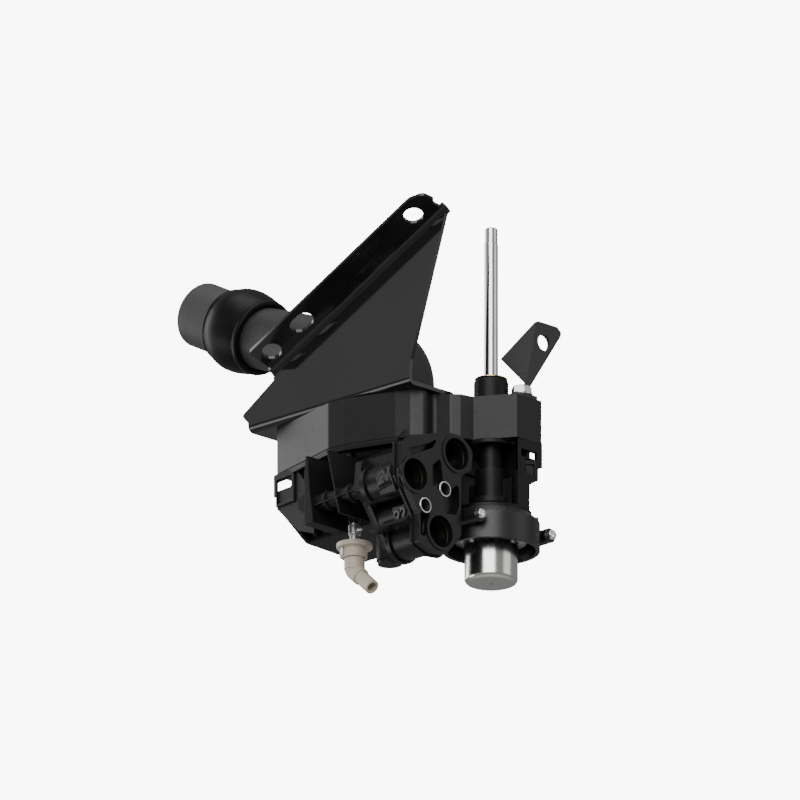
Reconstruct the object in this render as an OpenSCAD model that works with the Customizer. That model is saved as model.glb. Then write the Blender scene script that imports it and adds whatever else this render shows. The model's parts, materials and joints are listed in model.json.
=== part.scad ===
// Dual circuit brake valve with a pushrod, hung below a folded steel bracket.
// The origin is the centre of the pushrod at the top face of the housing block.
// +Z is up along the pushrod, the ports face +X and the ribbed front faces -Y.

/* [Pushrod and guide] */
// Diameter of the pushrod
rod_d = 10; // [8:0.5:12]
// Height of the pushrod's free end above the block
rod_top = 129.5; // [100:0.5:160]
// Diameter of the turned end of the pushrod
tip_d = 9.2; // [7:0.1:9.4]
// Length of the turned end of the pushrod
tip_len = 12; // [6:1:20]
// Stroke of the pushrod when the brake is fully applied
rod_travel = 12; // [6:1:13]
// Outer diameter of the guide collar, where a rubber boot fits
collar_d = 24.8; // [22:0.2:27]
// Height of the guide collar
collar_h = 15.5; // [12:0.5:20]
// Outer diameter of the bronze bush in the collar
bush_d = 15; // [14:0.5:18]

/* [Housing] */
// Depth of the upper housing's moulded wall
cover_h = 34; // [30:1:40]
// Thickness of the moulded walls
wall = 3; // [2.4:0.2:3.4]
// Height of the front tub of the lower housing
tub_h = 33; // [28:1:36]
// Height of the deep rear section of the lower housing
deep_h = 46; // [42:1:52]

/* [Valve column] */
// Outer diameter of the barrel's neck under the block
neck_d = 16.4; // [14:0.2:18]
// Outer diameter of the barrel's spring and piston section
tube_d = 23; // [22:0.2:25]
// Travel of the upper piston
piston_travel = 4; // [2:0.5:5]
// Travel of the relay piston
relay_travel = 3; // [2:0.5:4]
// Outer diameter of the skirt ring
skirt_d = 70; // [66:1:76]
// Height of the skirt ring
skirt_h = 25; // [22:1:30]
// Outer diameter of the steel end can
can_d = 38.4; // [36:0.2:40]
// Height of the can's lower face below the block
can_bottom = 137; // [134:1:150]

/* [Ports] */
// Position of the port face along X
port_x = 15; // [12:1:20]
// Thickness of the port plate
port_t = 8.3; // [7:0.1:10]
// Bore diameter of the ports
port_d = 23.4; // [21:0.2:24]
// Thread core diameter in the port's steel sleeves
sleeve_d = 6.5; // [5:0.5:8]
// Outer diameter of the port's steel sleeves
sleeve_od = 11.4; // [10.6:0.2:12]
// Distance between the two steel sleeves
sleeve_pitch = 25.8; // [24:0.2:27]
// Opening stroke of the delivery poppets
poppet_travel = 2.5; // [1:0.5:3]

/* [Bracket] */
// Thickness of the bracket's steel sheet
sheet = 3; // [2:0.5:4]
// Diameter of the bracket's mounting holes
bracket_hole_d = 14.4; // [10:0.4:16]
// Width of the bracket's sloping flange past its bend
flange_w = 27; // [24:1:34]
// Slope of the bracket's flange in degrees
flange_slope = 25.9; // [24:0.1:27]

/* [Air duct and drain] */
// Outer radius of the rubber duct
duct_r = 24; // [22:0.5:26]
// Wall of the rubber duct
duct_wall = 3; // [2:0.5:4]
// Diameter of the drain elbow's outlet tube
drain_d = 10.8; // [9:0.2:12]

/* [Hidden] */
$fn = 48;
// Radial running clearance of every sliding fit
run = 0.05;
// Small gap between parts that sit beside each other
seat_gap = 0.3;
cover_top = 1.5;
cover_bottom = cover_top - cover_h;
plate_top = cover_top + sheet;
rod_r = rod_d / 2;
collar_r = collar_d / 2;
bush_r = bush_d / 2;

// Column heights, from the top down
plunger_top = -6;
plunger_h = 14;
plunger_r = 9;
stem_r = 3.5;
tube_wall = 2.2;
piston_r = tube_d / 2 - tube_wall;
seat_disc_r = piston_r - 0.7;
tube_top = -53;
piston_top = -72;
stem_end = piston_top + rod_travel + 2;
piston_h = 6;
barrel_bottom = -86;
collar_ring_z = -79.5;
skirt_top = -87.5;
skirt_bottom = skirt_top - skirt_h;
flange_z = skirt_bottom + 7;
skirt_r = skirt_d / 2;
can_r = can_d / 2;
can_wall = 1.5;
can_chamfer = 3;
relay_top = -100;
relay_h = 8;
can_flange_r = can_r + 7;
clamp_y = skirt_r + 0.5;
clamp_z = -98;

// Port centres as [y, z]; the fourth boss carries no bore
port_21 = [-92.1, -79];
port_22 = [-66.3, -116.1];
port_in = [-50.4, -54.4];
boss_mid = [-76, -99];
sleeve_mid = [-71.4, -91.45];
sleeve_dir = [cos(39.8), sin(39.8)];
port_r = port_d / 2;
port_back = port_x - port_t;
web_x = -30;
boss_end = -26;
seat_x = -6;
boss_r = port_r + 3;
chamber_r = 9.5;
seat_r = 7;

// Bracket, in the front plane
front_y = -68;
plate_x0 = -177.6;
plate_x1 = -14.7;
plate_y1 = 40;
bend_r = 5;
flange_foot = [-151.4, 37];
flange_len = 192;
flange_lean = 18.5;

// Duct route, in the plane y = duct_y
duct_x = -86.3;
duct_y = -5;
duct_bend = 27;
duct_rise = 19.6;

drain_x = -78;
drain_y = -60;

function unit(v) = v / norm(v);
function turn(a) = a > 180 ? a - 360 : a < -180 ? a + 360 : a;
// Points of an arc of radius r that rounds the corner b between a and c
function corner(a, b, c, r, n = 5) =
  let (u = unit(a - b), w = unit(c - b), half = acos(u * w) / 2,
       cen = b + unit(u + w) * r / sin(half), p = b + u * r / tan(half) - cen,
       q = b + w * r / tan(half) - cen, a0 = atan2(p.y, p.x),
       da = turn(atan2(q.y, q.x) - a0))
  [for (i = [0 : n]) cen + r * [cos(a0 + da * i / n), sin(a0 + da * i / n)]];
// An outline from [x, y, radius] points
function rounded(pts) = [for (i = [0 : len(pts) - 1])
  let (k = len(pts), p = pts[i], a = pts[(i + k - 1) % k], c = pts[(i + 1) % k])
  each (len(p) > 2 && p[2] > 0
    ? corner([a.x, a.y], [p.x, p.y], [c.x, c.y], p[2]) : [[p.x, p.y]])];

module plate_y(y, t, pts)
  translate([0, y + t, 0]) rotate([90, 0, 0]) linear_extrude(t) polygon(pts);
module plate_x(x, t) translate([x, 0, 0]) rotate([90, 0, 90]) linear_extrude(t) children();
module rod_x(x0, x1, p, r)
  translate([x0, p[0], p[1]]) rotate([0, 90, 0]) cylinder(h = x1 - x0, r = r);
module tube_x(x0, x1, p, r, r_in) difference() {
  rod_x(x0, x1, p, r);
  rod_x(x0 - 1, x1 + 1, p, r_in);
}
module rod_z(z0, z1, r, x = 0, y = 0) translate([x, y, z0]) cylinder(h = z1 - z0, r = r);
module tube_z(z0, z1, r, r_in, x = 0, y = 0) difference() {
  rod_z(z0, z1, r, x, y);
  rod_z(z0 - 1, z1 + 1, r_in, x, y);
}
// A coil spring as a stack of round rings, joined by two slim bars
module spring(len, r, wire, coils) {
  pitch = (len - wire) / (coils - 1);
  for (i = [0 : coils - 1]) translate([0, 0, wire / 2 + i * pitch])
    rotate_extrude() translate([r, 0]) circle(d = wire, $fn = 16);
  for (a = [0, 180]) rotate(a) translate([r - wire / 4, -wire / 4, wire / 2])
    cube([wire / 2, wire / 2, len - wire]);
}
module hex_head(h, across) cylinder(h = h, r = across / 2 / cos(30), $fn = 6);

block_front = [-1.4, -16.6];
cover_outline = rounded([[-158, -59, 2], [-88, -76.5, 6], [-73, -75, 6], [-35, -62, 6],
  [-24, -57, 4], [-17, -49, 4], [-21, -38, 3], [-8, -33, 4], [-3, -27, 3],
  [block_front.x, block_front.y, 0], [26.6, -0.4, 1.5], [25.6, 26, 2], [-14, 34, 4],
  [-148, 34, 10], [-162, 22, 8]]);

// Section of a bent sheet: a straight lead, an arc through angle a, and a straight tail
function along(a, r, d) = r * [cos(a), sin(a)] + d * [-sin(a), cos(a)];
function fold(a, r, lead, tail, t = sheet, n = 18) = concat([[r + t, -lead]],
  [for (i = [0 : n]) along(a * i / n, r + t, 0)],
  [along(a, r + t, tail), along(a, r, tail)],
  [for (i = [n : -1 : 0]) along(a * i / n, r, 0)], [[r, -lead]]);
lap = 4;
// The lower bend draws the sheet a little thinner
thinning = 0.03;
module mounting_bracket() color("#1b1b1d") {
  difference() {
    translate([0, 0, cover_top]) linear_extrude(sheet) polygon(rounded([
      [plate_x0, front_y + bend_r, 0], [plate_x1, front_y + bend_r, 0],
      [plate_x1, -24, 0], [-24, -13, 8], [-24, 13, 8], [plate_x1, 24, 4],
      [plate_x1, plate_y1, 6], [plate_x0, plate_y1, 12]]));
    rod_z(0, plate_top + 1, duct_r - duct_wall + 1, duct_x, duct_y);
    for (p = bolt_spots) rod_z(0, plate_top + 1, 4.4, p.x, p.y);
  }
  gusset_foot = cover_top + bend_r;
  // Lower bend, from the plate up into the gusset
  translate([0, front_y + bend_r, gusset_foot]) rotate([0, 180, 0]) rotate([0, 0, 180])
    rotate([90, 0, 0]) rotate([0, 90, 0])
    translate([0, 0, plate_x0]) linear_extrude(plate_x1 - plate_x0)
      polygon([for (q = fold(90, bend_r - sheet + thinning, lap, lap, sheet - 2 * thinning))
        [q.y, q.x]]);
  // Gusset and flange are one bent sheet, cut to the outline of each
  difference() {
    in_flange() difference() {
      translate([-flange_lead, 0, 0]) rotate([90, 0, 90]) linear_extrude(flange_lead + flange_end)
        polygon(fold(flange_turn, bend_r, 2 * flange_lead, flange_out));
      translate([-flange_lead - 1, -50, 0]) cube([flange_lead + 1, 70, 60]);
      rotate([flange_turn, 0, 0]) translate([0, bend_r + 2 * sheet, 0]) rotate([90, 0, 0])
        linear_extrude(3 * sheet) difference() {
          translate([-1, 0.01]) square([flange_end + 2, flange_out + 1]);
          polygon(rounded([[3, 0, 0], [3.7, flange_out, 3], [184, flange_out, 9],
            [194, flange_out - 5, 5], [flange_end, 8, 1], [flange_len, 6, 1],
            [flange_len, 0, 0]]));
        }
      for (s = [16, 174.7]) flange_hole(s) cylinder(h = 3 * sheet, d = bracket_hole_d);
      flange_hole(49.5) linear_extrude(3 * sheet)
        for (d = [-3, 3]) translate([d, 0]) circle(d = bracket_hole_d - 1);
      flange_hole(49.5) translate([-3, -bracket_hole_d / 2 + 0.5, 0])
        cube([6, bracket_hole_d - 1, 3 * sheet]);
    }
    translate([0, front_y + sheet + 1, 0]) rotate([90, 0, 0]) linear_extrude(sheet + 2)
      difference() {
        translate([-250, -200]) square([350, 400]);
        polygon(rounded([[plate_x0 + 1, gusset_foot + 1, 0], [-184, 15, 2], flange_foot - [0, 2],
          flange_foot + 60 * flange_up, flange_top + 9 * flange_dir + 60 * flange_up,
          flange_top + 9 * flange_dir, flange_top, [-13.4, 19.5, 3],
          [plate_x1 - 1, gusset_foot + 1, 0]]));
      }
  }
}
flange_end = 195;
flange_dir = [cos(flange_slope), sin(flange_slope)];
flange_up = [-flange_dir.y, flange_dir.x];
flange_lead = 50;
flange_turn = 90 - flange_lean;
flange_top = flange_foot + flange_len * flange_dir;
// The bend takes up part of the measured flange width
flange_out = flange_w - bend_r;
hole_w = flange_out / 2 - 1;
bolt_spots = [[-148, -46], [-42, -44], [-140, 24], [-36, 24]];
module in_flange() translate([flange_foot.x, front_y - bend_r, flange_foot.y])
  rotate([0, -flange_slope, 0]) children();
module flange_hole(s) rotate([flange_turn, 0, 0]) translate([s, bend_r - sheet, hole_w])
  rotate([-90, 0, 0]) children();

side_x = 12;
foot_top = 3;
bolt_x = 17.6;
bolt_y = 13.2;
module side_bracket() color("#2a2a2d") {
  difference() {
    linear_extrude(foot_top) polygon(rounded([[side_x, 10, 1], [17, 4.5, 1], [24.6, 4.5, 3],
      [24.6, 23, 2], [side_x, 24.6, 1]]));
    rod_z(-1, foot_top + 1, 4.4, bolt_x, bolt_y);
  }
  difference() {
    plate_x(side_x, sheet) polygon(rounded([[21.4, 0, 0], [21.4, 18, 0], [31, 64.3, 3],
      [52, 64, 3], [56, 60.8, 2], [55.4, 57.8, 2], [24.6, 13, 2], [24.6, 0, 0]]));
    rod_x(side_x - 1, side_x + sheet + 1, side_hole, side_hole_r);
  }
  translate([0, 21.4, 18]) rotate([-side_lean, 0, 0]) plate_y(0, sheet,
    [[side_x, -2], [side_x, 45.5], [-17, 24]]);
}
side_hole = [38.5, 49.4];
side_hole_r = 6;
side_lean = atan2(9.6, 46.3);

module bracket_bolts() color("#9a9ca0") for (p = bolt_spots) translate([p.x, p.y, 0]) {
  rod_z(cover_top - 14, plate_top, 4);
  rod_z(plate_top, plate_top + 1.6, 8.5);
  translate([0, 0, plate_top + 1.6]) hex_head(5.5, 13);
}

block_bottom = cover_bottom;
hub_r = 13;
module upper_housing() color("#232325") difference() {
  union() {
    difference() {
      translate([0, 0, cover_bottom]) linear_extrude(cover_h) polygon(cover_outline);
      translate([0, 0, cover_bottom - 1]) linear_extrude(cover_h - 2 * wall + 1)
        offset(delta = -wall) polygon(cover_outline);
      // The wall behind the block ends higher up
      translate([-12, 10, cover_bottom - 1]) cube([34.4, 40, 18]);
    }
    for (p = bolt_spots) rod_z(cover_bottom + 6, cover_top - 1, 7, p.x, p.y);
    rod_z(block_bottom, -1, hub_r);
    rod_z(-18, -1, 6.5, bolt_x, bolt_y);
    for (a = [70, 110]) rotate(a) translate([hub_r - 1, -1.2, block_bottom + 2])
      cube([20, 2.4, cover_h - 8]);
    // Snap clip leg on the right of the block
    plate_x(22.6, wall) difference() {
      polygon(rounded([[1.5, block_bottom + 1, 0], [1.5, -57, 1], [6, -62, 2], [11.6, -65.5, 1],
        [21.7, -60.5, 1], [21.7, -50, 1], [26, -49, 1], [26, block_bottom + 1, 0]]));
      polygon([[4.5, -39.5], [21, -36], [21, -45.5], [4.5, -49]]);
      polygon([[6, -59], [6, -51], [18.5, -49], [18.5, -59]]);
    }
    // Hook between the clip's bars
    translate([17.5, 9.5, -60]) cube([8, 8, 9]);
    // Spigot that the duct sits on
    rod_z(cover_top - 1, duct_seat + 12, duct_r - duct_wall, duct_x, duct_y);
  }
  // Block top is a little lower than the cover
  translate([-13.9, -40, 0]) cube([60, 100, 10]);
  rod_z(-60, 10, plunger_r + run);
  rod_z(cover_bottom - 1, duct_seat + 20, duct_r - duct_wall - 2.4, duct_x, duct_y);
  for (p = bolt_spots) rod_z(cover_top - 14, 10, 4, p.x, p.y);
  rod_z(-16, 10, 4, bolt_x, bolt_y);
}
duct_seat = plate_top;

module silencer_element() color("#5b5b55") difference() {
  translate([0, 0, cover_bottom + 4]) linear_extrude(cover_h - 2 * wall - 5)
    polygon(rounded([[-130, -52, 6], [-60, -62, 8], [-32, -50, 6], [-32, 6, 6],
      [-60, 24, 8], [-120, 24, 8], [-150, 8, 8], [-150, -30, 8]]));
  for (p = bolt_spots) rod_z(-40, 10, 9, p.x, p.y);
  rod_z(-24, 10, duct_r - duct_wall - 2, duct_x, duct_y);
}

seal_t = 1.5;
lower_top = cover_bottom - seal_t;
module housing_seal() color("#111111") translate([0, 0, lower_top])
  linear_extrude(seal_t) difference() {
    offset(delta = -0.6) polygon(cover_outline);
    offset(delta = -wall - 1) polygon(cover_outline);
    translate([-19, -60]) square([60, 120]);
  }

deep_z = lower_top - deep_h;
// Lower left edge that the web and the port block's flange share, as [y, z, radius]
web_edge = [[-104, -62, 4], [-106, -84, 3], [-97, -91, 3], [-76, -122, 4], [-66, -130, 5],
  [-56, -127, 5]];
tub_z = lower_top - tub_h;
left_x = -157;
wall_profile = rounded([[-56, lower_top, 0], [-56, -60, 1], [-30, -78, 4],
  [31, deep_z, 6], [31, lower_top, 0]]);
module lower_housing() color("#1d1d1f") {
  // Rim plate under the seal
  translate([0, 0, lower_top - wall]) linear_extrude(wall) difference() {
    polygon(cover_outline);
    offset(delta = -9) polygon(cover_outline);
    translate([-19, -60]) square([60, 120]);
  }
  // Front tub with its wall and floor
  difference() {
    translate([0, 0, tub_z]) linear_extrude(tub_h) polygon(tub_outline);
    translate([0, 0, tub_z + wall]) linear_extrude(tub_h)
      offset(delta = -wall) polygon(tub_outline);
    // Windows in the front wall, with a leaning rib left between them
    for (q = [[[-127, -37], [-93, -37], [-93, -62], [-127, -62]],
        [[-90, -37], [-37, -37], [-37, -62], [-90, -62]]])
      plate_y(-90, 45, q);
  }
  // Post beside the port block
  rod_z(-123.8, tub_z + 1, 9.6, -43, -59.5);
  rod_z(-126.4, -123, 8.6, -43, -59.5);
  translate([-44, -62, -100]) cube([12, 5, 34]);
  // Left wall with the see-through clip window
  plate_x(left_x, wall) difference() {
    polygon(wall_profile);
    polygon([[-54, -47], [-54, -38.5], [-42, -38.5], [-42, -47]]);
    polygon(rounded([[-52, -62, 1], [-52, -52, 1], [-45, -52, 1], [-45, -62, 1]]));
  }
  // Deep rear section
  difference() {
    plate_x(left_x, web_x - wall - left_x) polygon(wall_profile);
    plate_x(left_x + wall, web_x - 3 * wall - left_x) offset(delta = -wall)
      polygon(wall_profile);
    translate([left_x - 1, -90, -100]) cube([200, 60, 90]);
    translate([left_x + wall, -90, lower_top - wall]) cube([300, 110, 20]);
  }
  // Ribs between the left wall and the tub
  for (x = [-146, -136, -126]) plate_x(x, 2) polygon([[-36, lower_top - 3],
    [-28.5, lower_top - 3], [-28.5, deep_z + 4.5], [-33, deep_z + 4.5],
    [-48 + (x + 146) * 0.2, -60]]);
  // Clip pillar and front boss
  translate([0, 0, -62]) linear_extrude(62 + lower_top) polygon([[-134, -60], [-129, -62],
    [-127, -58], [-132, -56]]);
  rod_z(tub_z + 1, lower_top - 1, 4.7, -78, -66);
  rod_z(tub_z + 1, lower_top - 1, 3, -100, -63);
  // Drain boss under the tub
  rod_z(-77, tub_z + 0.5, 7.5, drain_x, drain_y);
  // Pipe elbow in front of the tub
  translate([pipe_x, -64, port_21[1]]) rotate([90, 0, 0]) cylinder(h = 36, r = pipe_r + 1);
  translate([pipe_x - 6.3, -66, port_21[1]]) cube([10.3, 5, -port_21[1] + tub_z + 4]);
  // End web that carries the port block
  plate_x(web_x - wall, wall) difference() {
    polygon(rounded(concat(web_edge, [[-34, -100, 8], [-20, deep_z, 4], [31, deep_z, 6],
      [31, lower_top, 0], [-50, lower_top, 0]])));
    for (p = [port_21, port_22]) translate(p) circle(r = 8);
    polygon(rounded([[-10, -70, 4], [22, -70, 4], [22, -46, 4], [-10, -46, 4]]));
  }
}
tub_outline = rounded([[-134, -58, 3], [-86, -70, 3], [-73, -69, 3], [-38, -56, 3],
  [web_x - wall, -50, 0], [web_x - wall, -28, 0], [-140, -28, 3]]);

port_outline = rounded([[-106.5, -56.5, 3], [-106.5, -81.5, 3], [-89, -107.2, 3],
  [-89, -129.5, 4], [-74, -134.7, 4], [-60, -133.3, 6], [-44, -115, 4], [-44, -70, 3],
  [-34, -64, 5], [-32, -48, 8], [-44, -38.5, 8], [-58, -38.5, 4], [-98, -50, 4]]);
function sleeve_at(s) = sleeve_mid + s * sleeve_pitch / 2 * sleeve_dir;
rim = 0.75 * port_t;
face_pockets = [
  [[-74, -68, 2], [-66, -60.5, 2], [-63.5, -78, 2], [-67, -85, 2], [-74, -84, 2]],
  [[-63.5, -88.5, 2], [-47.5, -76, 2], [-47, -92, 2], [-50, -100, 2], [-62, -101.5, 2]],
  [[-84, -97.5, 2], [-77, -103, 2], [-80, -122, 2], [-86, -124, 2], [-86.5, -108, 2]],
  [[-99, -61, 2], [-78, -52.5, 2], [-68, -46, 1], [-74, -55, 2], [-96, -65.5, 2]]];
seal_r = 0.9;
seal_x = port_x - 5;
module port_block() color("#1f1f21") difference() {
  union() {
    plate_x(port_back, port_t - rim) polygon(port_outline);
    // Raised face with its moulded pockets
    plate_x(port_x - rim - 0.01, rim + 0.01) difference() {
      offset(delta = -1.2) polygon(port_outline);
      for (q = face_pockets) polygon(rounded(q));
    }
    for (p = [port_21, port_22, port_in]) rod_x(port_x - 1, port_x + 0.8, p, port_r + 2.4);
    // Small gusset above the plate
    plate_x(port_back, 4) polygon([[-103, -53], [-95, -45], [-92, -50]]);
    for (p = [port_21, port_22]) rod_x(boss_end, port_back + 1, p, boss_r - 1);
    for (p = [port_21, port_22]) rod_x(boss_end, boss_end + 4, p, boss_r + 0.8);
    rod_x(-12, port_back + 1, port_in, boss_r);
    rod_x(web_x, port_back + 1, boss_mid, 12.5);
    // Number pads
    translate([-9, port_21[0], port_21[1]]) rotate([24.4, 0, 0]) translate([0, -boss_r, -7])
      cube([15, 4, 14]);
    translate([-8.5, boss_mid[0], boss_mid[1]]) rotate([24.4, 0, 0]) translate([0, -14, -6.5])
      cube([14, 5, 13]);
    // Rear flange that seats on the lower housing
    plate_x(web_x, wall) polygon(rounded(concat(web_edge,
      [[-36, -100, 8], [-36, -50, 4], [-60, -45, 4]])));
    // Stiffening ribs between the flange and the port plate
    for (y = [-98, -58, -46]) translate([web_x, y, -94]) cube([port_back - web_x + 1, 2.2, 34]);
    for (z = [-62, -112]) translate([web_x, -94, z]) cube([port_back - web_x + 1, 42, 2.2]);
  }
  for (p = [port_21, port_22]) {
    rod_x(-2, port_x + 1, p, port_r);
    rod_x(seat_x - 1, -1, p, seat_r);
    rod_x(boss_end - 1, seat_x, p, chamber_r);
    rod_x(web_x - 1, boss_end, p, 8);
  }
  rod_x(-6, port_x + 1, port_in, port_r);
  for (p = [port_21, port_22, port_in])
    rod_x(seal_x - seal_r - run, seal_x + seal_r + run, p, port_r + 2 * seal_r + 2 * run);
  rod_x(web_x - 1, 0, port_in, 8);
  for (s = [-1, 1]) rod_x(port_x - 22, port_x + 1, sleeve_at(s), sleeve_od / 2);
}
module port_sleeves() color("#c9cbce") for (s = [-1, 1])
  tube_x(port_x - 22, port_x + 0.4, sleeve_at(s), sleeve_od / 2, sleeve_d / 2);

module port_seals() color("#0d0d0d") for (p = [port_21, port_22, port_in])
  translate([seal_x, p[0], p[1]]) rotate([0, 90, 0]) rotate_extrude()
    translate([port_r + seal_r + run, 0]) circle(r = seal_r, $fn = 20);

module delivery_seats() color("#c8a24a") for (p = [port_21, port_22])
  tube_x(seat_x, -2, p, seat_r, 4.6);

poppet_r = 7.5;
poppet_stem_r = 2.5;
module poppet(p) color("#6f6a55") {
  rod_x(seat_x - 3, seat_x - run, p, poppet_r);
  rod_x(boss_end + 2, seat_x - 3, p, poppet_stem_r);
}
module poppet_21() poppet(port_21);
module poppet_22() poppet(port_22);
module poppet_spring(p) color("#b8babd")
  translate([boss_end + 4.1, p[0], p[1]]) rotate([0, 90, 0])
    spring(seat_x - 3.1 - boss_end - 4.1, 5.2, 1.1, 6);
module poppet_spring_21() poppet_spring(port_21);
module poppet_spring_22() poppet_spring(port_22);
module cylinder_caps() color("#242426") for (p = [port_21, port_22])
  tube_x(boss_end, boss_end + 4, p, chamber_r, poppet_stem_r + run);

pipe_x = -88;
pipe_r = 6;
module transfer_pipe() color("#19191b") difference() {
  union() {
    rod_x(pipe_x + pipe_r + 1, web_x - wall, port_21, pipe_r);
    for (x = [-72, -60, -48, -37]) rod_x(x, x + 3, port_21, 7.4);
  }
  rod_x(-90, 0, port_21, 4);
}

module pushrod() color("#d4d6d8") {
  rod_z(plunger_top - 6, rod_top - tip_len, rod_r);
  rod_z(rod_top - tip_len, rod_top - 1, tip_d / 2);
  translate([0, 0, rod_top - 1]) rotate_extrude()
    polygon([[0, 0], [tip_d / 2, 0], [tip_d / 2 - 1, 1], [0, 1]]);
}
module guide_collar() color("#151517") tube_z(0, collar_h, collar_r, bush_r);
module guide_bush() color("#b08d4a") tube_z(0, collar_h, bush_r, rod_r + run);
module collar_washer() color("#c9a34e")
  tube_z(collar_h, collar_h + 0.9, collar_r - 0.6, rod_r + 0.8);

module cover_bolt() color("#d0d2d5") translate([bolt_x, bolt_y, 0]) {
  rod_z(-15, foot_top, 4);
  rod_z(foot_top, foot_top + 1.5, 8);
  translate([0, 0, foot_top + 1.5]) hex_head(5.5, 13);
}

module plunger() color("#8f9296") difference() {
  union() {
    rod_z(plunger_top - plunger_h, plunger_top, plunger_r);
    rod_z(stem_end, plunger_top - plunger_h + 1, stem_r);
    rod_z(stem_end, stem_end + 2, seat_disc_r - 0.4);
  }
  rod_z(plunger_top - 6, plunger_top + 1, rod_r);
}

module barrel() color("#1a1a1c") difference() {
  union() {
    rod_z(block_bottom - 3, block_bottom, 17);
    rod_z(tube_top - 1, block_bottom - 2, neck_d / 2);
    rod_z(barrel_bottom, tube_top, tube_d / 2);
    rod_z(collar_ring_z, collar_ring_z + 4, tube_d / 2 + 4.4);
    rod_z(skirt_top, skirt_top + 3, skirt_r - 6);
    // Ribs down to the skirt, clear of the side that the ports face
    for (a = [10, 55, 100, 145, 190]) rotate(a) translate([tube_d / 2 - 1, -1.2, skirt_top + 1])
      cube([8, 2.4, 26]);
  }
  rod_z(tube_top - tube_wall, 0, stem_r + run);
  rod_z(skirt_top - 1, tube_top - tube_wall, piston_r + run);
}

module graduating_spring() color("#c2c4c6")
  translate([0, 0, piston_top + 0.1])
    spring(stem_end - piston_top - 0.2, seat_disc_r - 1.4, 1.2, 5);

relay_stem_r = 4;
module primary_piston() color("#a7a9ab") difference() {
  union() {
    rod_z(piston_top - piston_h, piston_top, piston_r);
    rod_z(relay_top + 1 + piston_travel - relay_travel, piston_top - piston_h + 1, relay_stem_r);
  }
  tube_z(piston_top - 4.4, piston_top - 2, piston_r + 1, piston_r - 1.8);
}
module piston_ring() color("#0f0f10") tube_z(piston_top - 4.3, piston_top - 2.1,
  piston_r - 0.1, piston_r - 1.8);

relay_r = can_r - can_wall - run;
module relay_piston() color("#9da0a3") difference() {
  rod_z(relay_top - relay_h, relay_top + 0.2, relay_r);
  tube_z(relay_top - 5.4, relay_top - 3, relay_r + 1, relay_r - 2);
  rod_z(relay_top - relay_h - 1, relay_top - 6, 12);
}
module relay_ring() color("#0f0f10") tube_z(relay_top - 5.3, relay_top - 3.1,
  relay_r - 0.1, relay_r - 2);
module return_spring() color("#bfc1c4")
  translate([0, 0, can_floor + 0.1])
    spring(relay_top - 6 - can_floor - 0.2, 10, 1.8, 7);
can_floor = -can_bottom + can_wall;

module skirt_body() {
  // Skirt with its sloping shoulder
  rotate_extrude() polygon([[skirt_r - wall, skirt_bottom], [skirt_r, skirt_bottom],
    [skirt_r, skirt_top - 5], [skirt_r - 5, skirt_top], [piston_r + 3, skirt_top],
    [piston_r + 3, skirt_top - wall], [skirt_r - wall - 3, skirt_top - wall],
    [skirt_r - wall, skirt_top - wall - 3]]);
  for (a = [38 : 60 : 338]) rotate(a) translate([can_r + 1, -1, skirt_bottom + 9])
    cube([skirt_r - can_r - 2, 2, skirt_h - 10]);
  // Bosses for the can screws
  for (a = can_screw_angles) rotate(a) tube_z(flange_z + 2, skirt_top - 1, 3.6, 1.7,
    screw_ring_r);
  // Clamp lugs
  for (s = [-1, 1]) difference() {
    union() {
      rod_x(5, 24, [s * clamp_y, clamp_z], 5.4);
      translate([5, s * clamp_y - (s > 0 ? 8 : 0), clamp_z - 5.4]) cube([10, 8, 10.8]);
    }
    rod_z(skirt_bottom - 1, skirt_top + 1, skirt_r - 2);
  }
}
module skirt_ring() color("#1c1c1e") difference() {
  skirt_body();
  for (s = [-1, 1]) {
    rod_x(0.9, 30, [s * clamp_y, clamp_z], 2.5);
    rod_x(0.9, 5.1, [s * clamp_y, clamp_z], 5);
  }
}
can_screw_angles = [20, 140, 260];
screw_ring_r = can_flange_r - 3.2;

module clamp_bolts() color("#d0d2d5") for (s = [-1, 1]) {
  rod_x(1, 24, [s * clamp_y, clamp_z], 2.5);
  rod_x(24, 27.5, [s * clamp_y, clamp_z], 3.7);
}
module clamp_nuts() color("#b5b7ba") for (s = [-1, 1])
  translate([1, s * clamp_y, clamp_z]) rotate([0, 90, 0]) difference() {
    hex_head(4, 8);
    translate([0, 0, -1]) cylinder(h = 6, r = 2.5);
  }

module end_can() color("#c4c6c8") difference() {
  union() {
    rotate_extrude() polygon([[0, -can_bottom], [can_r - can_chamfer * 0.6, -can_bottom],
      [can_r - 0.5, -can_bottom + 2], [can_r, -can_bottom + can_chamfer + 1],
      [can_r, flange_z + 1], [0, flange_z + 1]]);
    rod_z(flange_z, flange_z + 2, can_flange_r);
    rod_z(flange_z, -93, can_r);
  }
  rod_z(can_floor, 0, can_r - can_wall);
  rod_z(-can_bottom - 1, 0, 1);
  for (a = can_screw_angles) rotate(a) rod_z(flange_z - 1, flange_z + 3, 1.7, screw_ring_r);
}
module can_screws() color("#d0d2d5") for (a = can_screw_angles) rotate(a) {
  rod_z(flange_z - 2.4, flange_z, 3, screw_ring_r);
  rod_z(flange_z, flange_z + 11, 1.7, screw_ring_r);
}

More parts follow.
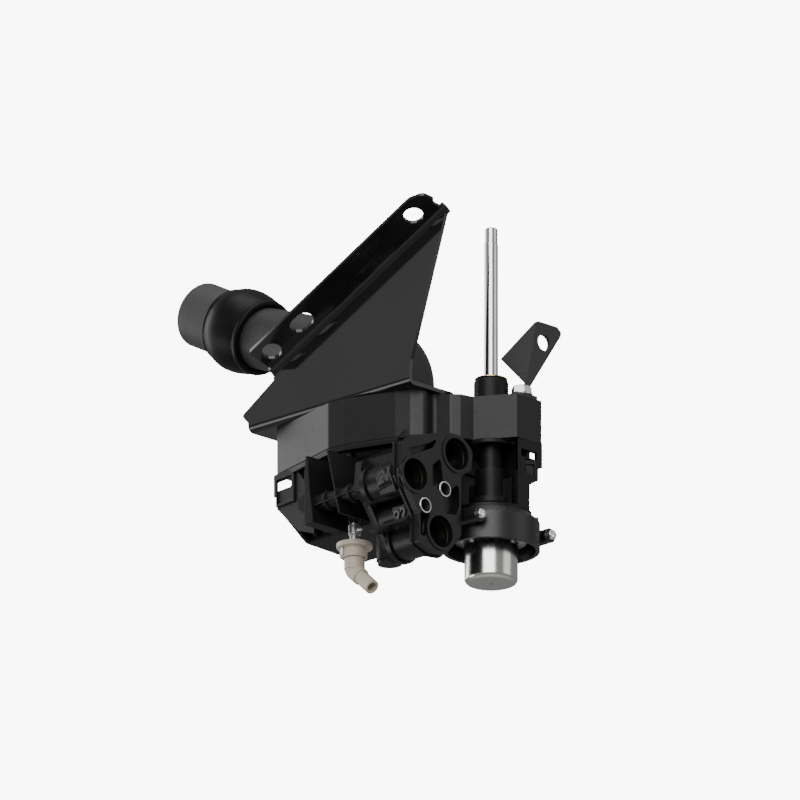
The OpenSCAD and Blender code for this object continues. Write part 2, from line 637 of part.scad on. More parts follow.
// The duct is an elbow with a long arm, a bulged sleeve over its end, and a mouth pipe
leg_h = 24;
run_len = 127;
run_r = duct_r - 1.5;
mouth_pitch = 7.5;
mouth_r = run_r + 1.1;
mouth_end = 71;
mouth_start = 28;
module ring_2d(r) difference() {
  circle(r = r);
  circle(r = r - duct_wall);
}
module in_run() translate([duct_x - duct_bend, duct_y, duct_seat + leg_h])
  rotate([0, -(90 - duct_rise), 0]) translate([duct_bend, 0, 0]) children();
module in_mouth() in_run() translate([0, 0, run_len]) rotate([0, mouth_pitch, 0]) children();
module duct_elbow() color("#161618") {
  tube_z(duct_seat, duct_seat + leg_h, duct_r, duct_r - duct_wall, duct_x, duct_y);
  translate([duct_x - duct_bend, duct_y, duct_seat + leg_h]) rotate([90, 0, 0])
    rotate_extrude(angle = 90 - duct_rise) translate([duct_bend, 0]) ring_2d(duct_r);
  in_run() rotate_extrude() polygon([[duct_r - duct_wall - 0.5, 0], [duct_r + 1, 0],
    [duct_r + 1, 3], [duct_r - 0.3, 4], [run_r, 12], [run_r, run_len + 8], [run_r - duct_wall, run_len + 8],
    [run_r - duct_wall, 12]]);
}
module duct_sleeve() color("#0c0c0d") in_mouth() rotate_extrude()
  polygon([[run_r + 0.7, 0], [run_r + 3.6, 0], [run_r + 4, 1.5], [run_r + 3, 4],
    [run_r + 5, 8], [run_r + 7, 14], [run_r + 8, 22], [run_r + 8, 30], [run_r + 6.6, 38],
    [run_r + 4, 46], [run_r + 3.2, 48.5], [mouth_r + run, 48.5], [mouth_r + run, 32],
    [run_r + 5, 28], [run_r + 4.5, 16], [run_r + 2.6, 8], [run_r + 0.7, 3]]);
module mouth_pipe() color("#2b2b2d") in_mouth()
  tube_z(mouth_start, mouth_end, mouth_r, mouth_r - duct_wall);
module duct_clamp() color("#a4a6a8") tube_z(duct_seat + 4, duct_seat + 12, duct_r + 0.9,
  duct_r, duct_x, duct_y);

hose_bottom = -88.5;
collar_z = -103;
module drain_hose() color("#121213") difference() {
  union() {
    rod_z(hose_bottom, -77, 3.6, drain_x, drain_y);
    for (i = [0 : 2]) rod_z(-80.5 - 3 * i, -79 - 3 * i, 4.6, drain_x, drain_y);
  }
  rod_z(hose_bottom - 1, -76, 2, drain_x, drain_y);
}
module test_nipple() color("#cfd1d3") translate([drain_x, drain_y, 0]) {
  rod_z(hose_bottom - 5, hose_bottom, 4.2);
  rod_z(collar_z, hose_bottom - 4, 2.6);
  translate([0, 0, hose_bottom - 3.6]) rotate([0, 90, 0]) cylinder(h = 9, r1 = 2, r2 = 0.8);
}
neck_r = 7.5;
module drain_collar() color("#b3a08a") difference() {
  union() {
    rod_z(collar_z - 3.5, collar_z, 13, drain_x, drain_y);
    rod_z(collar_z - 11, collar_z - 3, 9.3, drain_x, drain_y);
  }
  rod_z(collar_z - 12, collar_z - 2, 5.5 + run, drain_x, drain_y);
}
elbow_top = collar_z - 11 - seat_gap;
module drain_elbow() color("#b7a58f") difference() {
  union() {
    rod_z(elbow_top, collar_z - 3, 5.5, drain_x, drain_y);
    rod_z(elbow_top - 8, elbow_top, neck_r, drain_x, drain_y);
    translate([drain_x, drain_y, elbow_top - 8]) sphere(r = neck_r - 0.6);
    in_outlet() {
      cylinder(h = 24, d = drain_d);
      cylinder(h = 9, r = drain_d / 2 + 1);
    }
  }
  in_outlet() cylinder(h = 40, d = drain_d - 3.4);
}
module in_outlet() translate([drain_x, drain_y, elbow_top - 9]) rotate([0, 132, 0]) children();
module drain_clip() color("#e4e4e2") difference() {
  tube_z(collar_z - 10, collar_z - 3.6, 10.6, 9.3, drain_x, drain_y);
  translate([drain_x - 20, drain_y + 3, collar_z - 20]) cube([40, 20, 30]);
}

mounting_bracket();
side_bracket();
bracket_bolts();
upper_housing();
silencer_element();
housing_seal();
lower_housing();
port_block();
port_sleeves();
port_seals();
delivery_seats();
poppet_21();
poppet_22();
poppet_spring_21();
poppet_spring_22();
cylinder_caps();
transfer_pipe();
pushrod();
guide_collar();
guide_bush();
collar_washer();
cover_bolt();
plunger();
barrel();
graduating_spring();
primary_piston();
piston_ring();
relay_piston();
relay_ring();
return_spring();
skirt_ring();
clamp_bolts();
clamp_nuts();
end_can();
can_screws();
duct_elbow();
duct_sleeve();
mouth_pipe();
duct_clamp();
drain_hose();
test_nipple();
drain_collar();
drain_elbow();
drain_clip();
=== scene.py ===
# %% [markdown]
# # A pushrod brake valve on its folded bracket
#
# This notebook dresses a brake valve in Blender. The solids come packed from the CAD step and
# give every size and place. Here each of them gets the edges, threads, ribs and finish that
# the real valve has. The photograph looks up at the valve from below, with a long lens.
# Numbers for shapes are in millimetres, and mm turns them into Blender's metres.

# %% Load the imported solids
import json
import math

import bpy
from mathutils import Matrix, Vector

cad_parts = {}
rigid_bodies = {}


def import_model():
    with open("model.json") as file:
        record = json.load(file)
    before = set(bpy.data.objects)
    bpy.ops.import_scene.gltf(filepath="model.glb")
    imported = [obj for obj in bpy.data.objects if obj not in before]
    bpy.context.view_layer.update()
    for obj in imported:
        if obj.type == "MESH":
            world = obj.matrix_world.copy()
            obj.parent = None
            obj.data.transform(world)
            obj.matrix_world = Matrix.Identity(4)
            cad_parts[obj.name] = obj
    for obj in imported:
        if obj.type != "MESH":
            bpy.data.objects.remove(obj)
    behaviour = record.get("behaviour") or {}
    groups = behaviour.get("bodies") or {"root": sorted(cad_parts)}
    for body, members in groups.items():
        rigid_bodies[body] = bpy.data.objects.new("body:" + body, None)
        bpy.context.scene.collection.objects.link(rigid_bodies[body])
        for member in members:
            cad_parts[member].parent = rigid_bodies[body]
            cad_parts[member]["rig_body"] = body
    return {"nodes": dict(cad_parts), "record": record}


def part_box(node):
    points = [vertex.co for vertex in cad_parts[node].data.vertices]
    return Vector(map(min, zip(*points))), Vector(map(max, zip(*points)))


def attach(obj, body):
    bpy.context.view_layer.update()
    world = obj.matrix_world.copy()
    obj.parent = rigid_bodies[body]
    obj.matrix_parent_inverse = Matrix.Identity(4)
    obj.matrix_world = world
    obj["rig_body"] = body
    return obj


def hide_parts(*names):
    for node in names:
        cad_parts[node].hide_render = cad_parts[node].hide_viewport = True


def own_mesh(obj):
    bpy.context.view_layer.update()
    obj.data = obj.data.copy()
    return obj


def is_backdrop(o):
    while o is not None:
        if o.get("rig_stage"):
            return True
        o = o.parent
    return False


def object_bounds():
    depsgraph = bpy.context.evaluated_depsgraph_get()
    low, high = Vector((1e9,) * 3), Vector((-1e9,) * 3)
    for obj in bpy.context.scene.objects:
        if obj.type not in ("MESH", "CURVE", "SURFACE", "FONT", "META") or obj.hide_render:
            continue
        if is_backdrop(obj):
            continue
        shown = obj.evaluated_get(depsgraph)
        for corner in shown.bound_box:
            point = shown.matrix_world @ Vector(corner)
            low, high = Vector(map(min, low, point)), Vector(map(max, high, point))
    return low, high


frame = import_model()
nodes = frame["nodes"]
cad_low, cad_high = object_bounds()
mm = 0.001
print("packed nodes:", len(nodes))

# %% [markdown]
# ## The camera
#
# The picture was taken with so long a lens that parallel edges stay parallel, so the camera
# is orthographic. It stands 45 degrees round from the front and looks up by almost 18
# degrees. One millimetre of the valve covers 1.4 pixels of the 800 pixel frame.

# %% Camera below the valve, looking up
picture_size, pixels_per_mm = 800, 1.4
azimuth, elevation = math.radians(45), math.radians(-17.76)
back = Vector((math.sin(azimuth) * math.cos(elevation),
               -math.cos(azimuth) * math.cos(elevation), math.sin(elevation)))
right = Vector((math.cos(azimuth), math.sin(azimuth), 0))
up = back.cross(right)
aim_right, aim_up = -65.1 * mm, 0.93 * mm
aim = right * aim_right + up * aim_up

lens = bpy.data.cameras.new("studio_lens")
lens.type = "ORTHO"
lens.ortho_scale = picture_size / pixels_per_mm * mm
lens.clip_start, lens.clip_end = 0.05, 20
camera = bpy.data.objects.new("studio_camera", lens)
camera.location = aim + back * 1.2
camera.rotation_euler = (-back).to_track_quat("-Z", "Y").to_euler()
bpy.context.scene.collection.objects.link(camera)
bpy.context.scene.camera = camera
print("camera stands at", [round(c, 3) for c in camera.location])

# %% [markdown]
# ## Shader maths as Python
#
# A material is a graph of nodes, and its links could be drawn by hand in the shader editor.
# Written as plain Python sums it reads like a recipe, so one small class wraps a socket and
# turns +, - and * into Math nodes. The reflected forms let a plain number stand on the left.

# %% A socket that can be added and multiplied


class Socket:
    def __init__(self, tree, socket):
        self.tree, self.socket = tree, socket

    def node(self, kind, settings=None, **values):
        """A new node; an input goes by its own name, or by its number as i0, i1, i2."""
        made = self.tree.nodes.new("ShaderNode" + kind)
        for key, value in (settings or {}).items():
            setattr(made, key, value)
        for key, value in values.items():
            target = made.inputs[int(key[1:]) if key[1:].isdigit() else key]
            if isinstance(value, Socket):
                self.tree.links.new(value.socket, target)
            else:
                target.default_value = value
        return made

    def maths(self, operation, *values):
        made = self.node("Math", {"operation": operation},
                         **{f"i{k}": v for k, v in enumerate(values)})
        return Socket(self.tree, made.outputs[0])

    def __add__(self, other):
        return self.maths("ADD", self, other)

    def __radd__(self, other):
        return self.maths("ADD", other, self)

    def __sub__(self, other):
        return self.maths("SUBTRACT", self, other)

    def __rsub__(self, other):
        return self.maths("SUBTRACT", other, self)

    def __mul__(self, other):
        return self.maths("MULTIPLY", self, other)

    def __rmul__(self, other):
        return self.maths("MULTIPLY", other, self)

    def clipped(self):
        return self.maths("MINIMUM", self.maths("MAXIMUM", self, 0.0), 1.0)

    def scaled(self, x, y, z):
        """A vector stretched along the three axes."""
        made = self.node("VectorMath", {"operation": "MULTIPLY"}, i0=self, i1=(x, y, z))
        return Socket(self.tree, made.outputs[0])

    def noise(self, scale, detail=3.0, roughness=0.55):
        made = self.node("TexNoise", Vector=self, Scale=scale, Detail=detail,
                         Roughness=roughness)
        return Socket(self.tree, made.outputs[0])

    def cells(self, scale):
        made = self.node("TexVoronoi", Vector=self, Scale=scale)
        return Socket(self.tree, made.outputs[0])

    def between(self, low, high):
        """This value as a colour between two colours."""
        made = self.node("Mix", {"data_type": "RGBA"}, i0=self, i6=(*low, 1), i7=(*high, 1))
        return Socket(self.tree, made.outputs[2])


# %% [markdown]
# ## Finishes
#
# Every finish has a base colour that drifts a little, a roughness that drifts with handling,
# and a fine relief. An image could be painted for each, but noise on the object's own
# coordinates needs no unwrapping and has no seams, so one function builds them all. The
# relief is sized in metres, as the real one.

# %% One function builds every finish


def finish(name, low, high, rough, relief, depth, metal=0.0, coat=0.0, specular=0.5,
           drift=28.0):
    """A Principled finish; relief is a function of the position that returns a height."""
    made = bpy.data.materials.new(name)
    made.use_nodes = True
    tree = made.node_tree
    shader = tree.nodes["Principled BSDF"]
    place = Socket(tree, tree.nodes.new("ShaderNodeTexCoord").outputs["Object"])
    wander = (place.noise(drift, 4.0) - 0.5) * 1.6 + 0.5
    tree.links.new(wander.clipped().between(low, high).socket, shader.inputs["Base Color"])
    rub = place.noise(drift * 5, 5.0, 0.65)
    tree.links.new((rough[0] + rub * (rough[1] - rough[0])).socket,
                   shader.inputs["Roughness"])
    shader.inputs["Metallic"].default_value = metal
    shader.inputs["Coat Weight"].default_value = coat
    shader.inputs["Coat Roughness"].default_value = 0.2
    shader.inputs["Specular IOR Level"].default_value = specular
    bump = place.node("Bump", Strength=1.0, Distance=depth, Height=relief(place))
    tree.links.new(bump.outputs[0], shader.inputs["Normal"])
    print("finish:", name)
    return made


def grey(level, tint=0.0):
    return (level, level, level * (1 + tint))


# %% [markdown]
# ### Reliefs
#
# Moulded plastic carries the spark-eroded grain of its tool, dipped steel has a soft orange
# peel, turned steel has rings round its axis, and plating is a little cloudy. Each relief is
# a height that depends on the place alone. The rings are noise that is stretched sideways,
# which is cheaper than modelling them.

# %% Five reliefs


def grain(place):
    return place.noise(2600, 3.0) * 0.7 + place.cells(1900) * 0.3


def orange_peel(place):
    return place.noise(420, 2.0) * 0.8 + place.noise(2400, 2.0) * 0.2


def turned(place):
    """Fine rings round a vertical axis."""
    return place.scaled(0.02, 0.02, 1).noise(5200, 3.0)


def ground(place):
    """Finer rings, as a grinding wheel leaves them."""
    return place.scaled(0.04, 0.04, 1).noise(9000, 4.0)


def plated(place):
    return place.noise(1500, 2.0)


# %% [markdown]
# ### Black finishes
#
# Nearly everything in the picture is black, and what tells the parts apart is their gloss.
# The bracket is dipped in a hard gloss paint that mirrors its own flange. The housings are
# glass-filled plastic in a satin grain, and the port block is the glossiest of them. The
# bellows sleeve is soft rubber that hardly reflects.

# %% Paint, plastic and rubber
bracket_paint = finish("bracket_paint", grey(0.008), grey(0.012), (0.05, 0.11), orange_peel,
                       0.000008, specular=0.55)
stay_paint = finish("stay_paint", grey(0.020), grey(0.030), (0.36, 0.50), orange_peel,
                    0.00006)
cover_plastic = finish("cover_plastic", grey(0.008), grey(0.012), (0.36, 0.46), grain,
                       0.00006, specular=0.42)
tub_plastic = finish("tub_plastic", grey(0.005), grey(0.009), (0.40, 0.54), grain, 0.00008,
                     specular=0.28)
port_plastic = finish("port_plastic", grey(0.005), grey(0.008), (0.28, 0.38), grain, 0.00006,
                      specular=0.38)
neck_plastic = finish("neck_plastic", grey(0.006), grey(0.010), (0.38, 0.50), grain, 0.00006,
                      specular=0.22)
column_plastic = finish("column_plastic", grey(0.007), grey(0.012), (0.32, 0.44), grain,
                        0.00006, specular=0.6)
duct_rubber = finish("duct_rubber", grey(0.022), grey(0.034), (0.42, 0.56), grain, 0.0001)
sleeve_rubber = finish("sleeve_rubber", grey(0.003), grey(0.006), (0.34, 0.46), orange_peel,
                       0.00006, specular=0.16)
# A paler grey for the raised digits: a painted highlight on their lit tops.
digit_painted_highlight = finish("digit_painted_highlight", grey(0.05), grey(0.085), (0.3, 0.42), grain, 0.00004,
                        specular=0.6)
mouth_plastic = finish("mouth_plastic", grey(0.045), grey(0.062), (0.48, 0.6), grain, 0.00008,
                       specular=0.35)
seal_rubber = finish("seal_rubber", grey(0.006), grey(0.010), (0.4, 0.5), grain, 0.00006)

# %% [markdown]
# ### Metals and light plastics
#
# Bare metal shows only what it reflects, so its base colour is its reflectance and Metallic
# is 1. Chrome, drawn steel and zinc differ in how blurred that reflection is. The drain's
# parts are tan and milky plastic, left in their natural colour.

# %% Metals, packing and the drain's plastics
rod_chrome = finish("rod_chrome", grey(0.78), grey(0.84), (0.10, 0.17), ground, 0.000004,
                    metal=1.0)
can_steel = finish("can_steel", grey(0.74, -0.03), grey(0.84, -0.03), (0.16, 0.25), turned,
                   0.000006, metal=1.0)
zinc_plate = finish("zinc_plate", (0.66, 0.67, 0.70), (0.80, 0.80, 0.79), (0.20, 0.34),
                    plated, 0.00002, metal=1.0, drift=160)
bright_zinc = finish("bright_zinc", grey(0.80), grey(0.90), (0.30, 0.42), plated, 0.00002,
                     metal=0.85)
spring_wire = finish("spring_wire", grey(0.42), grey(0.52), (0.25, 0.38), plated, 0.00002,
                     metal=1.0)
turned_alloy = finish("turned_alloy", grey(0.60, 0.02), grey(0.68, 0.02), (0.28, 0.4),
                      turned, 0.00001, metal=1.0)
bush_bronze = finish("bush_bronze", (0.50, 0.34, 0.14), (0.62, 0.44, 0.2), (0.3, 0.45),
                     turned, 0.00002, metal=1.0)
# The sleeves' bores wear this dark finish as painted shade inside their countersunk mouths.
bore_painted_shade = finish("bore_painted_shade", grey(0.02), grey(0.05), (0.45, 0.6), turned, 0.00005,
                      metal=0.6)
washer_brass = finish("washer_brass", (0.66, 0.50, 0.20), (0.76, 0.60, 0.28), (0.24, 0.36),
                      plated, 0.00002, metal=1.0)
valve_plastic = finish("valve_plastic", (0.18, 0.17, 0.13), (0.22, 0.21, 0.16), (0.4, 0.5),
                       grain, 0.00004)
packing = finish("packing", (0.15, 0.15, 0.13), (0.26, 0.26, 0.23), (0.7, 0.9), grain, 0.0004)
tan_plastic = finish("tan_plastic", (0.64, 0.56, 0.45), (0.74, 0.66, 0.54), (0.38, 0.5),
                     grain, 0.00004)
milky_plastic = finish("milky_plastic", (0.72, 0.72, 0.70), (0.84, 0.84, 0.82), (0.2, 0.3),
                       orange_peel, 0.00003)

# %% [markdown]
# ### Who wears what
#
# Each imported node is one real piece, so one table says what it is made of. A piece that is
# modelled anew below looks its finish up in the same table.

# %% Which finish each node wears
WEARS = {
    "mounting_bracket": bracket_paint, "side_bracket": stay_paint,
    "bracket_bolts": zinc_plate, "upper_housing": cover_plastic,
    "silencer_element": packing, "housing_seal": seal_rubber, "lower_housing": tub_plastic,
    "port_block": port_plastic, "port_sleeves": zinc_plate,
    "port_seals": seal_rubber, "delivery_seats": washer_brass, "poppet_21": valve_plastic,
    "poppet_22": valve_plastic, "poppet_spring_21": spring_wire,
    "poppet_spring_22": spring_wire, "cylinder_caps": port_plastic,
    "transfer_pipe": tub_plastic, "pushrod": rod_chrome, "guide_collar": neck_plastic,
    "guide_bush": bush_bronze, "collar_washer": washer_brass, "cover_bolt": zinc_plate,
    "plunger": turned_alloy, "barrel": neck_plastic, "graduating_spring": spring_wire,
    "primary_piston": turned_alloy, "piston_ring": seal_rubber, "relay_piston": turned_alloy,
    "relay_ring": seal_rubber, "return_spring": spring_wire, "skirt_ring": column_plastic,
    "clamp_bolts": zinc_plate, "clamp_nuts": zinc_plate, "end_can": can_steel,
    "can_screws": zinc_plate, "duct_elbow": duct_rubber, "duct_sleeve": sleeve_rubber,
    "mouth_pipe": mouth_plastic, "duct_clamp": zinc_plate, "drain_hose": seal_rubber,
    "test_nipple": bright_zinc, "drain_collar": tan_plastic, "drain_elbow": tan_plastic,
    "drain_clip": milky_plastic,
}
for name, node in nodes.items():
    node.data.materials.clear()
    node.data.materials.append(WEARS[name])
print("nodes with a finish:", len(WEARS))

# %% [markdown]
# ## Edges
#
# A moulded or sheared edge is never perfectly sharp: it has a radius that catches a thin line
# of light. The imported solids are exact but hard-edged, so a copy of each visible one is
# merged, its flat faces are joined, and its sharp edges are bevelled. The same edges could be
# rounded in the solid, but a bevel here costs a few faces and leaves the size as it is. The
# weighted normals keep large faces flat, so that gloss paint mirrors cleanly. The copy then
# stands for its node.

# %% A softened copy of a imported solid


def select_only(*objects):
    bpy.ops.object.select_all(action="DESELECT")
    for each in objects:
        each.select_set(True)
    bpy.context.view_layer.objects.active = objects[-1]


def settle(piece, body, slot, *replaced, smooth=32):
    """Applies place and modifiers, smooths by angle, and hands the piece to its body."""
    select_only(piece)
    bpy.ops.object.convert(target="MESH")
    bpy.ops.object.transform_apply(location=True, rotation=True, scale=True)
    bpy.ops.object.shade_smooth_by_angle(angle=math.radians(smooth))
    flat = piece.modifiers.new("flat_faces_stay_flat", "WEIGHTED_NORMAL")
    flat.keep_sharp, flat.weight = True, 80
    bpy.ops.object.modifier_apply(modifier=flat.name)
    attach(piece, body)
    if replaced:
        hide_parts(*replaced)
    return piece


SLOTS = {row["node"]: row["material_slot"] for row in frame["record"]["subparts"]}


def body_of(node):
    return nodes[node]["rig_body"]


def softened(node, edge):
    """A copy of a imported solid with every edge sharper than 28 degrees rounded."""
    piece = bpy.data.objects.new(node + "_soft", nodes[node].data.copy())
    bpy.context.scene.collection.objects.link(piece)
    select_only(piece)
    bpy.ops.object.mode_set(mode="EDIT")
    bpy.ops.mesh.select_all(action="SELECT")
    bpy.ops.mesh.remove_doubles(threshold=0.00001)
    bpy.ops.mesh.dissolve_limited(angle_limit=math.radians(1.0))
    bpy.ops.object.mode_set(mode="OBJECT")
    bevel = piece.modifiers.new("edge_radius", "BEVEL")
    bevel.width, bevel.segments = edge * mm, 2
    bevel.limit_method, bevel.angle_limit = "ANGLE", math.radians(28)
    return settle(piece, body_of(node), SLOTS[node], node)


EDGES = {
    "mounting_bracket": 0.5, "side_bracket": 0.5, "upper_housing": 0.6,
    "lower_housing": 0.5, "port_block": 0.5, "transfer_pipe": 0.6, "barrel": 0.5,
    "skirt_ring": 0.8, "drain_collar": 0.4, "drain_elbow": 0.3, "drain_clip": 0.2,
    "duct_elbow": 0.5, "cylinder_caps": 0.3, "housing_seal": 0.2,
}
for name, edge in EDGES.items():
    piece = softened(name, edge)
    print(name, len(piece.data.polygons), "faces")

# %% [markdown]
# ## Turned pieces
#
# The can, the rod, the collar, the rubber sleeve and the screws are all round. They could be
# built from cylinders, with a step for every shoulder. On a lathe they would be turned from a
# profile, and the same is done here, because then each radius and fillet is one point of the
# profile: one vertex is extruded along it, and the profile is spun round its axis. A corner
# that is soft on the real piece is cut twice, which leaves a curve.

# %% Spin a profile round an axis


def eased(points, rounds=2, closed=True):
    """Cuts every corner of a profile, so that it runs in soft curves."""
    for _ in range(rounds):
        cut = []
        pairs = list(zip(points, points[1:] + points[:1]))
        for (r0, h0), (r1, h1) in pairs if closed else pairs[:-1]:
            cut.append((0.75 * r0 + 0.25 * r1, 0.75 * h0 + 0.25 * h1))
            cut.append((0.25 * r0 + 0.75 * r1, 0.25 * h0 + 0.75 * h1))
        points = cut if closed else [points[0]] + cut[1:-1] + [points[-1]]
    return points


def corner(r, h, radius, start, turn, steps=6):
    """An arc of a profile round the centre r, h, in degrees."""
    angles = [math.radians(start + turn * k / steps) for k in range(steps + 1)]
    return [(r + radius * math.cos(a), h + radius * math.sin(a)) for a in angles]


def spun(name, base, axis, profile, steps=64, closed=True):
    """A piece of revolution; the profile is a list of radius and height in mm."""
    axis = Vector(axis).normalized()
    side = Vector((0, 1, 0)) if abs(axis.y) < 0.9 else Vector((1, 0, 0))
    base = Vector(base) * mm
    points = [base + axis * (h * mm) + side * (r * mm) for r, h in profile]
    bpy.ops.object.select_all(action="DESELECT")
    bpy.ops.mesh.primitive_plane_add(size=mm)
    piece = bpy.context.active_object
    piece.name = name
    bpy.ops.object.mode_set(mode="EDIT")
    bpy.ops.mesh.select_all(action="SELECT")
    bpy.ops.mesh.merge(type="CENTER")
    bpy.ops.transform.translate(value=points[0])
    for here, there in zip(points, points[1:] + points[:1] * closed):
        bpy.ops.mesh.extrude_region_move(TRANSFORM_OT_translate={"value": there - here})
    bpy.ops.mesh.select_all(action="SELECT")
    bpy.ops.mesh.spin(steps=steps, angle=math.tau, center=base, axis=axis)
    bpy.ops.mesh.select_all(action="SELECT")
    bpy.ops.mesh.remove_doubles(threshold=0.000004)
    bpy.ops.mesh.normals_make_consistent(inside=False)
    bpy.ops.object.mode_set(mode="OBJECT")
    return piece


def dress(piece, node, smooth=32):
    """Gives a new piece its finish and lets it stand for its node."""
    piece.data.materials.clear()
    piece.data.materials.append(WEARS[node])
    settle(piece, body_of(node), SLOTS[node], node, smooth=smooth)


def cut_with(piece, tool, operation="DIFFERENCE"):
    """Cuts one piece with another, and throws the tool away."""
    bite = piece.modifiers.new("bite", "BOOLEAN")
    bite.operation, bite.object, bite.solver = operation, tool, "EXACT"
    select_only(piece)
    bpy.ops.object.modifier_apply(modifier="bite")
    bpy.data.objects.remove(tool, do_unlink=True)
    return piece


def prism(name, place, radius, height, axis, sides=6):
    """A bar with a regular outline, centred on place."""
    bpy.ops.object.select_all(action="DESELECT")
    way = Vector(axis).to_track_quat("Z", "Y").to_euler()
    bpy.ops.mesh.primitive_cylinder_add(vertices=sides, radius=radius * mm, depth=height * mm,
                                        location=Vector(place) * mm, rotation=way)
    made = bpy.context.active_object
    made.name = name
    bpy.ops.object.transform_apply(location=True, rotation=True, scale=True)
    return made


# %% [markdown]
# ### The steel end can
#
# The can is drawn from sheet, so its lower edge is a round of more than three millimetres and
# its flange leaves the wall in a small fillet. In the middle of the floor is a tiny vent hole.
# All of that is in one profile. The three screw holes aren't round the same axis, so they are
# bored through the flange afterwards, at the spots that the screws use as well.

# %% Spin the end can and bore its flange
low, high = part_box("end_can")
can_low, can_top, flange_r = low.z / mm, high.z / mm, high.x / mm
can_r, flange_low, screw_ring_r = flange_r - 7, can_top - 12.5, flange_r - 3.2
SCREW_SPOTS = [(screw_ring_r * math.cos(math.radians(angle)),
                screw_ring_r * math.sin(math.radians(angle))) for angle in (20, 140, 260)]
can_profile = (
    [(1.0, can_low)] + corner(can_r - 3.4, can_low + 3.4, 3.4, -90, 90)
    + corner(can_r + 1, flange_low - 1, 1.0, 180, -90, 4)
    + [(flange_r - 0.3, flange_low), (flange_r, flange_low + 0.3),
       (flange_r, flange_low + 1.7), (flange_r - 0.3, flange_low + 2),
       (can_r, flange_low + 2), (can_r, can_top - 0.3), (can_r - 0.3, can_top),
       (can_r - 1.2, can_top), (can_r - 1.5, can_top - 0.3)]
    + corner(can_r - 3.4, can_low + 3.4, 1.9, 0, -90) + [(1.0, can_low + 1.5)])
can = spun("end_can_drawn", (0, 0, 0), (0, 0, 1), can_profile, steps=96)
for spot in SCREW_SPOTS:
    cut_with(can, prism("drill", (*spot, flange_low + 1), 1.7, 6, (0, 0, 1), 24))
dress(can, "end_can", smooth=25)
print("end can:", len(can.data.polygons), "faces")

# %% [markdown]
# ### Rod, collar and washer
#
# The pushrod is ground and chromed, with a turned end for the clevis. The collar round it is
# plastic with a chamfer that lets a rubber boot slide on, and a thin brass washer closes the
# bush. All four share the rod's axis, so they are spun from profiles that meet face to face.
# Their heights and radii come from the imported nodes, and only the small edges are added.

# %% Spin the rod, the collar, the bush and the washer
low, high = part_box("pushrod")
rod_r, rod_low, rod_top = high.x / mm, low.z / mm, high.z / mm
tip_r, tip_low = rod_r - 0.4, rod_top - 12
rod = spun("pushrod_ground", (0, 0, 0), (0, 0, 1),
           [(0, rod_low), (rod_r - 0.4, rod_low), (rod_r, rod_low + 0.4),
            (rod_r, tip_low - 0.5), (rod_r - 0.1, tip_low - 0.1), (tip_r, tip_low + 0.3),
            (tip_r, rod_top - 1.1), (tip_r - 0.3, rod_top - 0.5), (tip_r - 1, rod_top),
            (0, rod_top)], closed=False)
dress(rod, "pushrod")

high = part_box("guide_collar")[1] / mm
collar_r, collar_top, bush_r = high.x, high.z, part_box("guide_bush")[1].x / mm
collar = spun("guide_collar_moulded", (0, 0, 0), (0, 0, 1),
              [(bush_r, 0), (collar_r, 0), (collar_r, collar_top - 2.6),
               (collar_r - 0.2, collar_top - 2), (collar_r - 1.2, collar_top - 0.3),
               (collar_r - 1.7, collar_top), (bush_r, collar_top)])
dress(collar, "guide_collar")
bush = spun("guide_bush_turned", (0, 0, 0), (0, 0, 1),
            [(rod_r + 0.05, 0.4), (rod_r + 0.4, 0), (bush_r, 0), (bush_r, collar_top),
             (rod_r + 0.4, collar_top), (rod_r + 0.05, collar_top - 0.4)])
dress(bush, "guide_bush")

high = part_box("collar_washer")[1] / mm
washer_r, washer_top, washer_hole_r = high.x, high.z, rod_r + 0.8
washer = spun("collar_washer_pressed", (0, 0, 0), (0, 0, 1),
              [(washer_hole_r, collar_top), (washer_r - 0.2, collar_top),
               (washer_r, collar_top + 0.2), (washer_r, washer_top - 0.3),
               (washer_r - 0.3, washer_top), (washer_hole_r + 0.3, washer_top),
               (washer_hole_r, washer_top - 0.3)])
dress(washer, "collar_washer")
print("rod", round(rod_top, 1), "mm, collar", round(collar_top, 1), "mm high")

# %% [markdown]
# ### The duct's sleeve and mouth
#
# A thick rubber sleeve joins the duct to its mouth. It bulges like a bellows fold and has a
# rounded lip at each end. It could be a stretched ball, but then the lips would be missing,
# so its profile is drawn and all corners are eased. The mouth is a plain pipe with a rolled
# rim. Both lie along the duct's axis, which rises from the housing and kinks at the sleeve.

# %% Spin the sleeve and the mouth along the duct's axis
rise, pitch = math.radians(19.6), math.radians(19.6 + 7.5)
bend_r, run_length, bend_at = 27, 127, Vector((-113.3, -5, 28.5))
ring = bend_at + Vector((bend_r * math.sin(rise) - run_length * math.cos(rise), 0,
                         bend_r * math.cos(rise) + run_length * math.sin(rise)))
mouth_way = Vector((-math.cos(pitch), 0, math.sin(pitch)))
sleeve = spun("duct_sleeve_moulded", ring, mouth_way, eased(
    [(23.2, 0), (25.8, -0.2), (27.4, 0.6), (27.6, 2.6), (26.9, 4.4), (28.4, 8), (29.8, 14),
     (30.6, 20), (30.6, 25), (29.6, 30), (27.6, 34.2), (26.7, 36), (27.3, 37.2),
     (26.7, 38.8), (23.7, 38.8), (23.7, 30), (27.5, 26), (27, 16), (25.1, 8), (23.2, 3)]),
    steps=96)
dress(sleeve, "duct_sleeve", smooth=50)
mouth = spun("mouth_pipe_moulded", ring, mouth_way,
             [(20.6, 28), (23.6, 28), (23.6, 69.6)] + corner(22.1, 69.5, 1.5, 0, 180, 8)
             + [(20.6, 69.4)], steps=96)
dress(mouth, "mouth_pipe", smooth=50)
print("sleeve faces:", len(sleeve.data.polygons))

# %% [markdown]
# ### The drain hose
#
# A short ribbed hose hangs from the housing. A loop writes its three ribs into the profile.
# They are soft rubber, so the profile's corners are eased as well.

